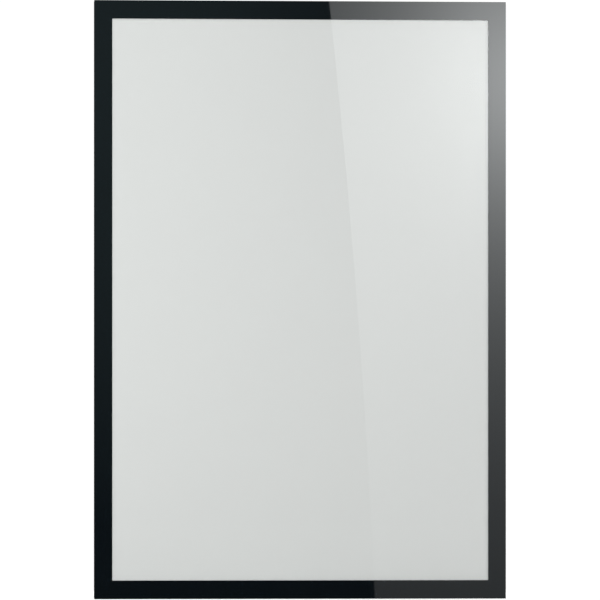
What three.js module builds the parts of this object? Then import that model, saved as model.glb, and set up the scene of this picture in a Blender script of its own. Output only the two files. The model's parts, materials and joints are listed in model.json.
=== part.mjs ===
// Self-adhesive poster frame whose magnetic front folds open like a book cover.
// Millimetres. The wall is the plane y = 0, the front faces -Y, +X is right and +Z is up.
// The origin is the middle of the frame, on the wall.

import * as THREE from 'three';

// Poster sheet that the frame holds, an A2 sheet
const SHEET_WIDTH = 420;
const SHEET_HEIGHT = 594;
const SHEET_CLEARANCE = 0.5;
const SHEET_OVERLAP = 6.2;

// Flexible magnet strips round the sheet
const MAGNET_WIDTH = 12;
const MAGNET_THICKNESS = 0.4;
const MAGNET_EDGE_INSET = 0.5;
const MAGNET_END_GAP = 0.6;

// Films and sheets, from the rear of the frame to the front
const BACK_BORDER_THICKNESS = 0.2;
const BACK_PANEL_THICKNESS = 0.4;
const FRONT_WINDOW_THICKNESS = 0.3;
const FRONT_BORDER_THICKNESS = 0.3;
const OUTER_CORNER_RADIUS = 0.5;
const WINDOW_CORNER_RADIUS = 0.4;
const CORNER_SEGMENTS = 3;

// Double-sided tape on the rear border
const TAPE_WIDTH = 9;
const TAPE_THICKNESS = 0.4;
const TAPE_END_GAP = 3;

// Film hinge, folded along the left edge
const HINGE_FILM_THICKNESS = 0.12;
const HINGE_FOLD_GAP = 0.06;
const HINGE_LEAF_WIDTH = 11;
const HINGE_EDGE_CLEARANCE = 0.15;
const HINGE_END_SETBACK = 2;
const HINGE_FOLD_SEGMENTS = 8;

// Outline of the frame and of the window cut in both borders
const SIDE_BAND = SHEET_CLEARANCE + MAGNET_WIDTH + MAGNET_EDGE_INSET;
const FRAME_WIDTH = SHEET_WIDTH + 2 * SIDE_BAND;
const FRAME_HEIGHT = SHEET_HEIGHT + 2 * SIDE_BAND;
const BORDER_WIDTH = SIDE_BAND + SHEET_OVERLAP;
const WINDOW_WIDTH = FRAME_WIDTH - 2 * BORDER_WIDTH;
const WINDOW_HEIGHT = FRAME_HEIGHT - 2 * BORDER_WIDTH;

// Depths from the wall of the rear face of each layer
const BACK_BORDER_DEPTH = TAPE_THICKNESS;
const BACK_PANEL_DEPTH = BACK_BORDER_DEPTH + BACK_BORDER_THICKNESS;
const BACK_MAGNET_DEPTH = BACK_PANEL_DEPTH + BACK_PANEL_THICKNESS;
const PARTING_DEPTH = BACK_MAGNET_DEPTH + MAGNET_THICKNESS;
const FRONT_WINDOW_DEPTH = PARTING_DEPTH + MAGNET_THICKNESS;
const FRONT_BORDER_DEPTH = FRONT_WINDOW_DEPTH + FRONT_WINDOW_THICKNESS;

// The film takes up half of its folded thickness on each side of the parting plane
const HINGE_X = -FRAME_WIDTH / 2 - HINGE_EDGE_CLEARANCE;
const HINGE_HALF_THICKNESS = HINGE_FOLD_GAP / 2 + HINGE_FILM_THICKNESS;
const HINGE_MAGNET_THICKNESS = MAGNET_THICKNESS - HINGE_HALF_THICKNESS;

function finish(color, roughness, options = {}) {
  return new THREE.MeshStandardMaterial({ color, roughness, metalness: 0, ...options });
}

const glossyBlackFilm = () => finish(0x0b1013, 0.08);
const satinBlackFilm = () => finish(0x121518, 0.4);
const clearSheet = () => finish(0xe9eeee, 0.05, { transparent: true, opacity: 0.2 });
const frostedSheet = () => finish(0xdcdfde, 0.55);
const magnetRubber = () => finish(0x2b2624, 0.75);
const mountingTape = () => finish(0xe6e4dc, 0.8);

// Traces a rectangle with round corners, centred on x, z, into a shape or a hole
function traceRectangle(path, x, z, width, height, radius = 0) {
  const left = x - width / 2;
  const right = x + width / 2;
  const low = z - height / 2;
  const high = z + height / 2;
  if (radius === 0) {
    path.moveTo(left, low).lineTo(right, low).lineTo(right, high).lineTo(left, high);
    path.closePath();
    return path;
  }
  path.moveTo(left + radius, low).lineTo(right - radius, low);
  path.absarc(right - radius, low + radius, radius, -Math.PI / 2, 0);
  path.lineTo(right, high - radius);
  path.absarc(right - radius, high - radius, radius, 0, Math.PI / 2);
  path.lineTo(left + radius, high);
  path.absarc(left + radius, high - radius, radius, Math.PI / 2, Math.PI);
  path.lineTo(left, low + radius);
  path.absarc(left + radius, low + radius, radius, Math.PI, Math.PI * 1.5);
  return path;
}

function sheetOutline() {
  return traceRectangle(new THREE.Shape(), 0, 0, FRAME_WIDTH, FRAME_HEIGHT, OUTER_CORNER_RADIUS);
}

function borderOutline() {
  const ring = sheetOutline();
  ring.holes.push(
    traceRectangle(new THREE.Path(), 0, 0, WINDOW_WIDTH, WINDOW_HEIGHT, WINDOW_CORNER_RADIUS),
  );
  return ring;
}

// Four strips round a rectangle: the upright ones run its full height, the level ones fit between them
function stripOutlines(width, height, stripWidth, endGap) {
  const sideX = (width - stripWidth) / 2;
  const sideZ = (height - stripWidth) / 2;
  const levelLength = width - 2 * (stripWidth + endGap);
  const strip = (x, z, w, h) => traceRectangle(new THREE.Shape(), x, z, w, h);
  return {
    top: strip(0, sideZ, levelLength, stripWidth),
    bottom: strip(0, -sideZ, levelLength, stripWidth),
    left: strip(-sideX, 0, stripWidth, height),
    right: strip(sideX, 0, stripWidth, height),
  };
}

// Cuts a flat layer from sheet stock, with its rear face at a depth from the wall
function layer(name, outline, thickness, rearDepth, material) {
  const geometry = new THREE.ExtrudeGeometry(outline, {
    depth: thickness,
    bevelEnabled: false,
    curveSegments: CORNER_SEGMENTS,
  });
  geometry.rotateX(Math.PI / 2);
  const mesh = new THREE.Mesh(geometry, material);
  mesh.name = name;
  mesh.position.y = -rearDepth;
  return mesh;
}

function magnetOutlines() {
  const width = FRAME_WIDTH - 2 * MAGNET_EDGE_INSET;
  const height = FRAME_HEIGHT - 2 * MAGNET_EDGE_INSET;
  return stripOutlines(width, height, MAGNET_WIDTH, MAGNET_END_GAP);
}

// The strips beside the hinge are thinner by the film that lies between them
function magnetThickness(side) {
  return side === 'left' ? HINGE_MAGNET_THICKNESS : MAGNET_THICKNESS;
}

function backMagnets() {
  return Object.entries(magnetOutlines()).map(([side, outline]) =>
    layer(`back_magnet_${side}`, outline, magnetThickness(side), BACK_MAGNET_DEPTH, magnetRubber()),
  );
}

function frontMagnets() {
  return Object.entries(magnetOutlines()).map(([side, outline]) => {
    const thickness = magnetThickness(side);
    const rearDepth = FRONT_WINDOW_DEPTH - thickness;
    return layer(`front_magnet_${side}`, outline, thickness, rearDepth, magnetRubber());
  });
}

// The tape runs along the middle of the rear border
function tapeStrips() {
  const inset = (BORDER_WIDTH - TAPE_WIDTH) / 2;
  const width = FRAME_WIDTH - 2 * inset;
  const height = FRAME_HEIGHT - 2 * inset;
  const outlines = stripOutlines(width, height, TAPE_WIDTH, TAPE_END_GAP);
  return Object.entries(outlines).map(([side, outline]) =>
    layer(`adhesive_strip_${side}`, outline, TAPE_THICKNESS, 0, mountingTape()),
  );
}

// A film folded flat on itself: two leaves joined by a half round fold, on the fold's own axis
function hingeFilm() {
  const inner = HINGE_FOLD_GAP / 2;
  const outer = HINGE_HALF_THICKNESS;
  const profile = new THREE.Shape();
  profile.moveTo(HINGE_LEAF_WIDTH, outer).lineTo(0, outer);
  profile.absarc(0, 0, outer, Math.PI / 2, Math.PI * 1.5);
  profile.lineTo(HINGE_LEAF_WIDTH, -outer).lineTo(HINGE_LEAF_WIDTH, -inner).lineTo(0, -inner);
  profile.absarc(0, 0, inner, Math.PI * 1.5, Math.PI / 2, true);
  profile.lineTo(HINGE_LEAF_WIDTH, inner);
  profile.closePath();
  const length = FRAME_HEIGHT - 2 * HINGE_END_SETBACK;
  const geometry = new THREE.ExtrudeGeometry(profile, {
    depth: length,
    bevelEnabled: false,
    curveSegments: HINGE_FOLD_SEGMENTS,
  });
  const mesh = new THREE.Mesh(geometry, satinBlackFilm());
  mesh.name = 'hinge_film';
  mesh.position.set(HINGE_X, -PARTING_DEPTH, -length / 2);
  return mesh;
}

// The back half stays on the wall and carries the hinge film
const back = new THREE.Group();
back.name = 'back';
back.add(
  ...tapeStrips(),
  layer('back_border', borderOutline(), BACK_BORDER_THICKNESS, BACK_BORDER_DEPTH, satinBlackFilm()),
  layer('back_panel', sheetOutline(), BACK_PANEL_THICKNESS, BACK_PANEL_DEPTH, frostedSheet()),
  ...backMagnets(),
  hingeFilm(),
);

// The cover's own origin is the hinge axis, so that turning the group opens the frame
const cover = new THREE.Group();
cover.name = 'cover';
cover.position.set(HINGE_X, -PARTING_DEPTH, 0);
const coverLayers = [
  ...frontMagnets(),
  layer('front_window', sheetOutline(), FRONT_WINDOW_THICKNESS, FRONT_WINDOW_DEPTH, clearSheet()),
  layer('front_border', borderOutline(), FRONT_BORDER_THICKNESS, FRONT_BORDER_DEPTH, glossyBlackFilm()),
];
for (const mesh of coverLayers) {
  mesh.position.sub(cover.position);
  cover.add(mesh);
}

const displayFrame = new THREE.Group();
displayFrame.name = 'magnetic_display_frame';
displayFrame.add(back, cover);

export default displayFrame;
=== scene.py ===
import json
import math

import bmesh
import bpy
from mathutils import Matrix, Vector


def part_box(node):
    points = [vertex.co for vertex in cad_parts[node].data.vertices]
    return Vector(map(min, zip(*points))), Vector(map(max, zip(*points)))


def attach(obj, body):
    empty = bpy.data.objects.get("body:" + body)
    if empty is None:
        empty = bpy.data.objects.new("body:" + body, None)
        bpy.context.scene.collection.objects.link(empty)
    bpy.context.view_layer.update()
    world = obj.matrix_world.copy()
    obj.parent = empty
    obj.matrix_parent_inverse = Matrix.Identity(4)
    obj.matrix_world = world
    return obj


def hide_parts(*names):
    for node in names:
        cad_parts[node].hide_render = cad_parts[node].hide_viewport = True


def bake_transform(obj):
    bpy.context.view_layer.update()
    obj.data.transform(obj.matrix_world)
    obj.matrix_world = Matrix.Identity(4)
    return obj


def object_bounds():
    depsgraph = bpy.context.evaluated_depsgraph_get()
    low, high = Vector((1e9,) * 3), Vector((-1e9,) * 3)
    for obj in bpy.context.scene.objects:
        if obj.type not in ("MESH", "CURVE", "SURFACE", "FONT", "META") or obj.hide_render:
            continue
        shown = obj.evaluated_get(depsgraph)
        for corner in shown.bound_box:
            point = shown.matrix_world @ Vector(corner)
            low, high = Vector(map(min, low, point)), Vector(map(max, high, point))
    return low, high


# A flat magnetic poster frame: glossy black border, clear cover, pale frosted back.
# Metres, in the frame of the CAD model: the front faces -Y and +Z is up.
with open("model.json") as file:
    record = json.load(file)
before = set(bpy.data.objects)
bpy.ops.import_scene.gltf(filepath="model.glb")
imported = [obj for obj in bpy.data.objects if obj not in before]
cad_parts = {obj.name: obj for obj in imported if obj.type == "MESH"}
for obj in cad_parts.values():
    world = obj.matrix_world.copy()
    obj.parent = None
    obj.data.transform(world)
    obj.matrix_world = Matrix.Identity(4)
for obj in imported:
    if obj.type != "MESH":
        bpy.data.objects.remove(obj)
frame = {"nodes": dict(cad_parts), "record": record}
cad_low, cad_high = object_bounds()

MM = 0.001

# The photograph is square, the frame nearly fills its height, and its edges hardly converge,
# so the camera stands far off with a long lens, to the left and a little below the middle.
# It aims a part of a pixel beside the middle of the front. Lens and sensor are in millimetres.
PICTURE_PIXELS = 600
FRAME_PIXELS_TALL = 597.9
VIEW_TURN = math.radians(-16.94)
VIEW_RISE = math.radians(-0.35)
AIM_PIXELS_LEFT = 0.65
AIM_PIXELS_BELOW = 0.1
LENS_LENGTH = 1600
SENSOR_WIDTH = 36

# Folded hinge film
HINGE_FILM_THICKNESS = 0.12 * MM
HINGE_FOLD_STEPS = 16
HINGE_SMOOTH_ANGLE = math.radians(40)

# Clear cover sheet
SHEET_TRIM = 0.01 * MM
SHEET_CORNER_RADIUS = 0.5 * MM
SHEET_CORNER_STEPS = 4
SHEET_EDGE_BREAK = 0.03 * MM
SHEET_EDGE_STEPS = 2
SHEET_SHARP_ANGLE = math.radians(60)

# How near two points are to count as one place when edges are picked, and to be merged
SAME_PLACE = 0.01 * MM
MERGE_DISTANCE = 0.001 * MM

# A magnet's pattern is squeezed by this along its strip, which draws the lines out
MAGNET_LINE_SQUEEZE = 0.03

# The colour sockets of a Mix node share their names with others, so they go by number
MIX_FIRST = 6
MIX_SECOND = 7
MIX_RESULT = 2

# The wall that the gloss mirrors, with its pattern in pixels of the photograph, right and up from the middle.
# The light's left edge crosses the middle height at LIGHT_EDGE, leans by LIGHT_LEAN and bends by LIGHT_BEND.
WALL_DISTANCE = 0.4
WALL_SIZE = 6
LIGHT_EDGE = 56.3
LIGHT_LEAN = -0.0765
LIGHT_BEND = -0.000055
LIGHT_CORE = (216, 225, 0)
LIGHT_SPREAD = (108, 142, 1)
LIGHT_PEAK = 8.36
# The wall's own painted light, a glow brightest towards its top left
WALL_GLOW_CORE = (-260, 254, 0)
WALL_GLOW_SPREAD = (371, 485, 1)
WALL_GLOW_BRIGHT = 0.282
WALL_GLOW_DIM = 0.046
PALE_START = 450
PALE_END = 1300
PALE_LEVEL = 0.4

# The floor's own glow is lower near the frame, so that the shadow shows there
FLOOR_SIZE = 60
FLOOR_GAP = 0.1 * MM
FLOOR_NEAR = 0.25
FLOOR_FAR = 1.2
FLOOR_GLOW_NEAR = 0.5
FLOOR_GLOW_FAR = 0.7

# Light of the room, and the lamps with their power in watts
PANEL_LIGHT = 1.14
ROOM_FILL = 0.15
OVER_WHITE = 0.04
LAMP_SIZE = 0.5
FRONT_LAMP_POWER = 7.71
FRONT_LAMP_PLACE = (-0.7, -1.2, 0.3)
BACK_LAMP_POWER = 9.0
BACK_LAMP_PLACE = (0.7, 1.2, 0.8)


def linear(code):
    """Turns an sRGB hex colour into linear RGBA."""
    parts = [int(code[i:i + 2], 16) / 255 for i in (1, 3, 5)]
    return [c / 12.92 if c <= 0.04045 else ((c + 0.055) / 1.055) ** 2.4 for c in parts] + [1.0]


def add_node(tree, kind, inputs=None, **settings):
    """Adds a node with its settings, and fills or links its inputs."""
    made = tree.nodes.new(kind)
    for name, value in settings.items():
        setattr(made, name, value)
    for key, value in (inputs or {}).items():
        if isinstance(value, bpy.types.NodeSocket):
            tree.links.new(value, made.inputs[key])
        else:
            made.inputs[key].default_value = value
    return made


def new_material(name):
    """Starts a material, and gives its empty node tree and the place on the piece that patterns read."""
    material = bpy.data.materials.new(name)
    material.use_nodes = True
    tree = material.node_tree
    tree.nodes.clear()
    place = add_node(tree, "ShaderNodeTexCoord").outputs["Object"]
    return material, tree, place


def dress(node, material):
    """Gives a CAD node its material."""
    slots = frame["nodes"][node].data.materials
    slots.clear()
    slots.append(material)


def start_piece(name, add_primitive, **placing):
    """Adds a primitive with nothing else selected, as the start of a piece."""
    bpy.ops.object.select_all(action="DESELECT")
    add_primitive(**placing)
    piece = bpy.context.object
    piece.name = name
    return piece


def edit_edges(piece, wanted):
    """Opens a piece in edit mode with the edges selected whose two ends are as wanted."""
    bpy.ops.object.mode_set(mode="EDIT")
    bpy.ops.mesh.select_mode(type="EDGE")
    bpy.ops.mesh.select_all(action="DESELECT")
    mesh = bmesh.from_edit_mesh(piece.data)
    for edge in mesh.edges:
        one, other = edge.verts
        edge.select_set(wanted(one.co, other.co))
    bmesh.update_edit_mesh(piece.data)


# PVC film pressed against a polished roll: a blue-black mirror with a long faint ripple.
def polished_pvc_film():
    ripple_length = 70 * MM
    ripple_depth = 0.004 * MM
    rub_width = 9 * MM
    material, tree, place = new_material("polished_pvc_film")
    ripple = add_node(tree, "ShaderNodeTexNoise", {
        "Vector": place, "Scale": 1 / ripple_length, "Detail": 1.0})
    wave = add_node(tree, "ShaderNodeBump", {"Height": ripple.outputs[0], "Distance": ripple_depth})
    rub = add_node(tree, "ShaderNodeTexNoise", {"Vector": place, "Scale": 1 / rub_width, "Detail": 3.0})
    gloss = add_node(tree, "ShaderNodeMapRange", {"Value": rub.outputs[0], "To Min": 0.01, "To Max": 0.04})
    tint = add_node(tree, "ShaderNodeMix", {
        "Factor": ripple.outputs[0], MIX_FIRST: linear("#070C10"), MIX_SECOND: linear("#0A0F14")},
        data_type="RGBA")
    shader = add_node(tree, "ShaderNodeBsdfPrincipled", {
        "Base Color": tint.outputs[MIX_RESULT], "Roughness": gloss.outputs[0], "IOR": 1.5,
        "Normal": wave.outputs[0]})
    add_node(tree, "ShaderNodeOutputMaterial", {"Surface": shader.outputs[0]})
    return material


# Clear PET sheet with a low-reflection coat: it shows what lies behind it and a weak sharp reflection.
# Light from the lamps and the room goes straight through, so that the sheet casts no shadow on the back.
def coated_pet_sheet():
    rub_width = 15 * MM
    material, tree, place = new_material("coated_pet_sheet")
    rub = add_node(tree, "ShaderNodeTexNoise", {"Vector": place, "Scale": 1 / rub_width, "Detail": 2.0})
    gloss = add_node(tree, "ShaderNodeMapRange", {"Value": rub.outputs[0], "To Min": 0.0, "To Max": 0.02})
    clear = add_node(tree, "ShaderNodeBsdfPrincipled", {
        "Base Color": linear("#FEFFFF"), "Roughness": gloss.outputs[0], "IOR": 1.38,
        "Transmission Weight": 1.0})
    straight = add_node(tree, "ShaderNodeBsdfTransparent", {"Color": linear("#FEFFFF")})
    path = add_node(tree, "ShaderNodeLightPath")
    lighting = add_node(tree, "ShaderNodeMath", {
        0: path.outputs["Is Shadow Ray"], 1: path.outputs["Is Diffuse Ray"]}, operation="MAXIMUM")
    sheet = add_node(tree, "ShaderNodeMixShader", {
        0: lighting.outputs[0], 1: clear.outputs[0], 2: straight.outputs[0]})
    add_node(tree, "ShaderNodeOutputMaterial", {"Surface": sheet.outputs[0]})
    return material


# Polypropylene sheet off an embossed roll: pale grey with a fine even frost.
# The frost is finer than a pixel of the render, so it is drawn 2.5 mm wide.
def frosted_pp_sheet():
    frost_width = 2.5 * MM
    frost_depth = 0.012 * MM
    material, tree, place = new_material("frosted_pp_sheet")
    frost = add_node(tree, "ShaderNodeTexNoise", {"Vector": place, "Scale": 1 / frost_width, "Detail": 2.0})
    grain = add_node(tree, "ShaderNodeBump", {"Height": frost.outputs[0], "Distance": frost_depth})
    tone = add_node(tree, "ShaderNodeMix", {
        "Factor": frost.outputs[0], MIX_FIRST: linear("#DBDBD9"), MIX_SECOND: linear("#DEDEDC")},
        data_type="RGBA")
    shader = add_node(tree, "ShaderNodeBsdfPrincipled", {
        "Base Color": tone.outputs[MIX_RESULT], "Roughness": 0.6, "IOR": 1.49, "Normal": grain.outputs[0]})
    add_node(tree, "ShaderNodeOutputMaterial", {"Surface": shader.outputs[0]})
    return material


# PVC film off a matt roll: black with a soft sheen and a fine pebble.
# The pebble is finer than a pixel of the render, so it is drawn 2 mm wide.
def satin_pvc_film():
    pebble_width = 2 * MM
    pebble_depth = 0.03 * MM
    rub_width = 20 * MM
    material, tree, place = new_material("satin_pvc_film")
    pebble = add_node(tree, "ShaderNodeTexVoronoi", {"Vector": place, "Scale": 1 / pebble_width})
    grain = add_node(tree, "ShaderNodeBump", {"Height": pebble.outputs[0], "Distance": pebble_depth})
    rub = add_node(tree, "ShaderNodeTexNoise", {"Vector": place, "Scale": 1 / rub_width, "Detail": 3.0})
    gloss = add_node(tree, "ShaderNodeMapRange", {"Value": rub.outputs[0], "To Min": 0.32, "To Max": 0.46})
    tone = add_node(tree, "ShaderNodeMix", {
        "Factor": rub.outputs[0], MIX_FIRST: linear("#0E1114"), MIX_SECOND: linear("#15181B")},
        data_type="RGBA")
    shader = add_node(tree, "ShaderNodeBsdfPrincipled", {
        "Base Color": tone.outputs[MIX_RESULT], "Roughness": gloss.outputs[0], "IOR": 1.5,
        "Normal": grain.outputs[0]})
    add_node(tree, "ShaderNodeOutputMaterial", {"Surface": shader.outputs[0]})
    return material


# Ferrite powder in rubber, rolled into foil: dull brown-black with fine lines drawn along the strip.
# The lines are finer than a pixel of the render, so they are drawn 1.5 mm apart.
def flexible_magnet(name, squeeze):
    line_spacing = 1.5 * MM
    line_depth = 0.05 * MM
    speck_width = 4 * MM
    material, tree, place = new_material(name)
    drawn = add_node(tree, "ShaderNodeMapping", {"Vector": place, "Scale": squeeze})
    lines = add_node(tree, "ShaderNodeTexNoise", {
        "Vector": drawn.outputs[0], "Scale": 1 / line_spacing, "Detail": 3.0})
    speck = add_node(tree, "ShaderNodeTexNoise", {"Vector": place, "Scale": 1 / speck_width, "Detail": 4.0})
    tone = add_node(tree, "ShaderNodeMix", {
        "Factor": speck.outputs[0], MIX_FIRST: linear("#221E1C"), MIX_SECOND: linear("#352F2B")},
        data_type="RGBA")
    groove = add_node(tree, "ShaderNodeBump", {"Height": lines.outputs[0], "Distance": line_depth})
    gloss = add_node(tree, "ShaderNodeMapRange", {"Value": lines.outputs[0], "To Min": 0.5, "To Max": 0.75})
    shader = add_node(tree, "ShaderNodeBsdfPrincipled", {
        "Base Color": tone.outputs[MIX_RESULT], "Roughness": gloss.outputs[0], "IOR": 1.52,
        "Normal": groove.outputs[0]})
    add_node(tree, "ShaderNodeOutputMaterial", {"Surface": shader.outputs[0]})
    return material


# Foamed acrylic tape, its release paper peeled off: off-white and tacky, with small open cells.
# The cells are finer than a pixel of the render, so they are drawn 2 mm wide.
def foam_tape():
    cell_width = 2 * MM
    cell_depth = 0.03 * MM
    material, tree, place = new_material("foam_tape")
    cells = add_node(tree, "ShaderNodeTexVoronoi", {"Vector": place, "Scale": 1 / cell_width})
    tone = add_node(tree, "ShaderNodeMix", {
        "Factor": cells.outputs[0], MIX_FIRST: linear("#E4E2DB"), MIX_SECOND: linear("#EFEDE7")},
        data_type="RGBA")
    pits = add_node(tree, "ShaderNodeBump", {"Height": cells.outputs[0], "Distance": cell_depth})
    shader = add_node(tree, "ShaderNodeBsdfPrincipled", {
        "Base Color": tone.outputs[MIX_RESULT], "Roughness": 0.45, "IOR": 1.48, "Normal": pits.outputs[0]})
    add_node(tree, "ShaderNodeOutputMaterial", {"Surface": shader.outputs[0]})
    return material


def folded_hinge_film(material):
    """The film hinge: a leaf on the back, a half round fold about the hinge axis, a leaf on the cover."""
    low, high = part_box("hinge_film")
    axis_x, axis_y, axis_z = frame["record"]["behaviour"]["joints"][0]["pos_m"]
    fold_radius = (high[1] - low[1] - HINGE_FILM_THICKNESS) / 2
    leaf_width = high[0] - axis_x
    length = high[2] - low[2]

    film = start_piece(
        "folded_hinge_film", bpy.ops.mesh.primitive_plane_add, size=1,
        location=(axis_x + leaf_width / 2, axis_y + fold_radius, axis_z), rotation=(math.pi / 2, 0, 0))
    film.scale = (leaf_width, length, 1)
    bpy.ops.object.transform_apply(location=True, rotation=True, scale=True)

    edit_edges(film, lambda one, other: max(abs(one.x - axis_x), abs(other.x - axis_x)) < SAME_PLACE)
    bpy.ops.mesh.spin(
        steps=HINGE_FOLD_STEPS, angle=-math.pi, center=(axis_x, axis_y, axis_z), axis=(0, 0, 1))
    bpy.ops.mesh.extrude_region_move(TRANSFORM_OT_translate={"value": (leaf_width, 0, 0)})
    bpy.ops.mesh.select_all(action="SELECT")
    bpy.ops.mesh.remove_doubles(threshold=MERGE_DISTANCE)
    bpy.ops.mesh.normals_make_consistent(inside=False)
    bpy.ops.object.mode_set(mode="OBJECT")

    wall = film.modifiers.new("wall", "SOLIDIFY")
    wall.thickness = HINGE_FILM_THICKNESS
    wall.offset = 0
    bpy.ops.object.modifier_apply(modifier=wall.name)
    bpy.ops.object.shade_smooth_by_angle(angle=HINGE_SMOOTH_ANGLE)

    film.data.materials.append(material)
    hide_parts("hinge_film")
    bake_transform(film)


def clear_cover_sheet(material):
    """The clear sheet of the cover: die-cut, with round corners and slightly broken edges.

    The border film is bonded to its front. Two faces in one place would show as patches through the
    clear sheet, so it reaches a hair into the film.
    """
    low, high = (Vector(corner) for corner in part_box("front_window"))
    low += Vector((SHEET_TRIM, -SHEET_TRIM, SHEET_TRIM))
    high -= Vector((SHEET_TRIM, 0, SHEET_TRIM))

    sheet = start_piece(
        "clear_cover_sheet", bpy.ops.mesh.primitive_cube_add, size=1, location=(low + high) / 2)
    sheet.scale = high - low
    bpy.ops.object.transform_apply(location=True, rotation=True, scale=True)

    edit_edges(sheet, lambda one, other: abs(one.x - other.x) + abs(one.z - other.z) < SAME_PLACE)
    bpy.ops.mesh.bevel(offset=SHEET_CORNER_RADIUS, segments=SHEET_CORNER_STEPS)
    bpy.ops.object.mode_set(mode="OBJECT")

    broken = sheet.modifiers.new("broken_edges", "BEVEL")
    broken.width = SHEET_EDGE_BREAK
    broken.segments = SHEET_EDGE_STEPS
    broken.limit_method = "ANGLE"
    broken.angle_limit = SHEET_SHARP_ANGLE
    bpy.ops.object.modifier_apply(modifier=broken.name)

    sheet.data.materials.append(material)
    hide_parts("front_window")
    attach(sheet, "cover")


# Pieces and their materials
satin_film = satin_pvc_film()
tape = foam_tape()
level_magnet = flexible_magnet("flexible_magnet_level", (MAGNET_LINE_SQUEEZE, 1, 1))
upright_magnet = flexible_magnet("flexible_magnet_upright", (1, 1, MAGNET_LINE_SQUEEZE))
dress("front_border", polished_pvc_film())
dress("back_panel", frosted_pp_sheet())
dress("back_border", satin_film)
for side in ("top", "bottom", "left", "right"):
    dress(f"adhesive_strip_{side}", tape)
    strip = level_magnet if side in ("top", "bottom") else upright_magnet
    dress(f"front_magnet_{side}", strip)
    dress(f"back_magnet_{side}", strip)
folded_hinge_film(satin_film)
clear_cover_sheet(coated_pet_sheet())


# Camera, at the photograph's angle
border_low, border_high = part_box("front_border")
front_middle = Vector((0, border_low[1], 0))
toward_camera = Vector((
    math.sin(VIEW_TURN) * math.cos(VIEW_RISE),
    -math.cos(VIEW_TURN) * math.cos(VIEW_RISE),
    math.sin(VIEW_RISE)))
picture_width = (border_high[2] - border_low[2]) * PICTURE_PIXELS / FRAME_PIXELS_TALL
pixel_width = picture_width / PICTURE_PIXELS
camera_distance = picture_width * LENS_LENGTH / SENSOR_WIDTH

lens = bpy.data.cameras.new("camera")
lens.lens = LENS_LENGTH
lens.sensor_width = SENSOR_WIDTH
lens.clip_end = 2 * camera_distance
camera = bpy.data.objects.new("camera", lens)
aside = Vector((math.cos(VIEW_TURN), math.sin(VIEW_TURN), 0))
off_middle = AIM_PIXELS_LEFT * aside + AIM_PIXELS_BELOW * Vector((0, 0, 1))
aim = front_middle - pixel_width * off_middle
camera.location = aim + camera_distance * toward_camera
camera.rotation_euler = (math.pi / 2 - VIEW_RISE, 0, VIEW_TURN)
bpy.context.collection.objects.link(camera)
bpy.context.scene.camera = camera


def squared_distance(tree, spot, core, spread):
    """How far a spot on the wall is from a core, counted in its spreads and squared."""
    apart = add_node(tree, "ShaderNodeMapping", {
        "Vector": spot, "Location": core, "Scale": spread}, vector_type="TEXTURE").outputs[0]
    squared = add_node(tree, "ShaderNodeVectorMath", {0: apart, 1: apart}, operation="DOT_PRODUCT")
    return squared.outputs["Value"]


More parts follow.
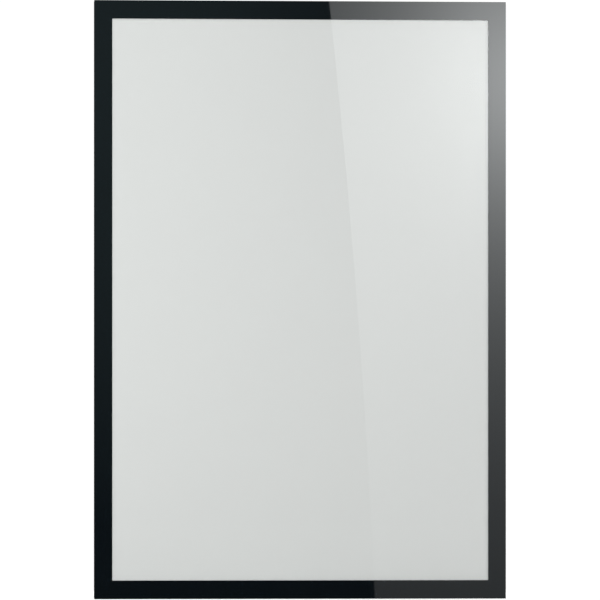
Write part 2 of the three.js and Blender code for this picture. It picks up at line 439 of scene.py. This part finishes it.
def studio_wall():
    """A dim glowing wall in front of the frame, with one tall soft painted light on its right, seen only in
    the gloss.

    The frame is a flat mirror, so a place on the wall shows at one pixel of the picture. The wall is
    laid out in those pixels, right and up from the middle.
    """
    mirrored = Vector((-toward_camera.x, toward_camera.y, -toward_camera.z))
    wall_pixel = pixel_width * (camera_distance + WALL_DISTANCE) / camera_distance
    wall = start_piece(
        "studio_wall", bpy.ops.mesh.primitive_plane_add, size=WALL_SIZE,
        location=front_middle + WALL_DISTANCE * mirrored, rotation=(math.pi / 2, 0, -VIEW_TURN))
    material, tree, place = new_material("studio_wall")
    spot = add_node(tree, "ShaderNodeVectorMath", {
        0: place, "Scale": 1 / wall_pixel}, operation="SCALE").outputs[0]
    along = add_node(tree, "ShaderNodeSeparateXYZ", {0: spot})

    # The light's left edge leans and bends a little, and right of it the light fades from its core
    lean = add_node(tree, "ShaderNodeMath", {
        0: along.outputs["Y"], 1: LIGHT_BEND, 2: LIGHT_LEAN}, operation="MULTIPLY_ADD")
    edge = add_node(tree, "ShaderNodeMath", {
        0: lean.outputs[0], 1: along.outputs["Y"], 2: LIGHT_EDGE}, operation="MULTIPLY_ADD")
    inside = add_node(tree, "ShaderNodeMath", {
        0: along.outputs["X"], 1: edge.outputs[0]}, operation="GREATER_THAN")
    from_light = squared_distance(tree, spot, LIGHT_CORE, LIGHT_SPREAD)
    fade = add_node(tree, "ShaderNodeMath", {0: from_light, 1: 1.0}, operation="ADD")
    glow = add_node(tree, "ShaderNodeMath", {0: LIGHT_PEAK, 1: fade.outputs[0]}, operation="DIVIDE")
    light = add_node(tree, "ShaderNodeMath", {
        0: glow.outputs[0], 1: inside.outputs[0]}, operation="MULTIPLY")
    soft_light = add_node(tree, "ShaderNodeEmission", {
        "Color": linear("#F9FCFC"), "Strength": light.outputs[0]})

    # Painted light on the wall itself: a glow brightest towards its top left, as if lit from there
    from_wall_glow = squared_distance(tree, spot, WALL_GLOW_CORE, WALL_GLOW_SPREAD)
    dim = add_node(tree, "ShaderNodeMapRange", {
        "Value": from_wall_glow, "To Min": WALL_GLOW_BRIGHT, "To Max": WALL_GLOW_DIM})
    painted_wall_light = add_node(tree, "ShaderNodeEmission", {"Color": linear("#DDFFFD"), "Strength": dim.outputs[0]})
    both = add_node(tree, "ShaderNodeAddShader", {0: soft_light.outputs[0], 1: painted_wall_light.outputs[0]})

    # Further out than the photograph's view mirrors, the wall grows pale
    away = add_node(tree, "ShaderNodeVectorMath", {0: spot}, operation="LENGTH")
    pale = add_node(tree, "ShaderNodeMapRange", {
        "Value": away.outputs["Value"], "From Min": PALE_START, "From Max": PALE_END,
        "To Min": 0.0, "To Max": PALE_LEVEL})
    surround = add_node(tree, "ShaderNodeEmission", {
        "Color": linear("#FFFFFF"), "Strength": pale.outputs[0]})
    whole = add_node(tree, "ShaderNodeAddShader", {0: both.outputs[0], 1: surround.outputs[0]})
    add_node(tree, "ShaderNodeOutputMaterial", {"Surface": whole.outputs[0]})

    # It shows in the gloss alone and isn't used as a lamp
    material.cycles.emission_sampling = "NONE"
    wall.data.materials.append(material)
    wall.visible_camera = False
    wall.visible_diffuse = False
    wall.visible_transmission = False
    wall.visible_shadow = False


def seen_directly(tree):
    """1 for a look straight from the camera, in gloss or through the clear sheet, and otherwise 0."""
    path = add_node(tree, "ShaderNodeLightPath")
    gloss = add_node(tree, "ShaderNodeMath", {
        0: path.outputs["Is Camera Ray"], 1: path.outputs["Is Glossy Ray"]}, operation="MAXIMUM")
    seen = add_node(tree, "ShaderNodeMath", {
        0: gloss.outputs[0], 1: path.outputs["Is Transmission Ray"]}, operation="MAXIMUM")
    return seen.outputs[0]


def pale_floor():
    """White paper under the frame. It shows white to the camera where it is lit, and keeps the shadow."""
    floor = start_piece(
        "floor", bpy.ops.mesh.primitive_plane_add, size=FLOOR_SIZE, location=(0, 0, cad_low.z - FLOOR_GAP))
    material, tree, place = new_material("floor_paper")
    paper = add_node(tree, "ShaderNodeBsdfDiffuse", {"Color": linear("#E8E8E8")})
    away = add_node(tree, "ShaderNodeVectorMath", {0: place}, operation="LENGTH")
    level = add_node(tree, "ShaderNodeMapRange", {
        "Value": away.outputs["Value"], "From Min": FLOOR_NEAR, "From Max": FLOOR_FAR,
        "To Min": FLOOR_GLOW_NEAR, "To Max": FLOOR_GLOW_FAR})
    lift = add_node(tree, "ShaderNodeMath", {
        0: seen_directly(tree), 1: level.outputs[0]}, operation="MULTIPLY")
    white = add_node(tree, "ShaderNodeEmission", {"Color": linear("#FFFFFF"), "Strength": lift.outputs[0]})
    both = add_node(tree, "ShaderNodeAddShader", {0: paper.outputs[0], 1: white.outputs[0]})
    add_node(tree, "ShaderNodeOutputMaterial", {"Surface": both.outputs[0]})
    floor.data.materials.append(material)
    floor.visible_glossy = False


def room_light():
    """Soft light from big panels before and behind the frame. Camera, gloss and glass see it as white."""
    world = bpy.data.worlds.new("room")
    world.use_nodes = True
    tree = world.node_tree
    tree.nodes.clear()
    way = add_node(tree, "ShaderNodeTexCoord").outputs["Generated"]
    depth = add_node(tree, "ShaderNodeSeparateXYZ", {0: way}).outputs["Y"]
    facing = add_node(tree, "ShaderNodeMath", {0: depth, 1: depth}, operation="MULTIPLY")
    panels = add_node(tree, "ShaderNodeMath", {
        0: facing.outputs[0], 1: PANEL_LIGHT, 2: ROOM_FILL}, operation="MULTIPLY_ADD")
    level = add_node(tree, "ShaderNodeMapRange", {
        "Value": seen_directly(tree), "To Min": panels.outputs[0], "To Max": 1.0})

    # To the camera alone it is a hair over white, so that the render's noise filter leaves no marks on it
    straight = add_node(tree, "ShaderNodeLightPath").outputs["Is Camera Ray"]
    shown = add_node(tree, "ShaderNodeMath", {
        0: straight, 1: OVER_WHITE, 2: level.outputs[0]}, operation="MULTIPLY_ADD")
    sky = add_node(tree, "ShaderNodeBackground", {"Color": linear("#FFFFFF"), "Strength": shown.outputs[0]})
    add_node(tree, "ShaderNodeOutputWorld", {"Surface": sky.outputs[0]})
    bpy.context.scene.world = world


def soft_lamp(name, power, place):
    """A soft square lamp, turned to the frame's middle. Its image doesn't show through the clear sheet."""
    light = bpy.data.lights.new(name, "AREA")
    light.shape = "SQUARE"
    light.size = LAMP_SIZE
    light.energy = power
    lamp = bpy.data.objects.new(name, light)
    lamp.location = place
    lamp.rotation_euler = (-lamp.location).to_track_quat("-Z", "Y").to_euler()
    lamp.visible_transmission = False
    bpy.context.collection.objects.link(lamp)


# Stage and light
studio_wall()
pale_floor()
room_light()
soft_lamp("front_lamp", FRONT_LAMP_POWER, FRONT_LAMP_PLACE)
soft_lamp("back_lamp", BACK_LAMP_POWER, BACK_LAMP_PLACE)
bpy.context.scene.view_settings.view_transform = "Standard"
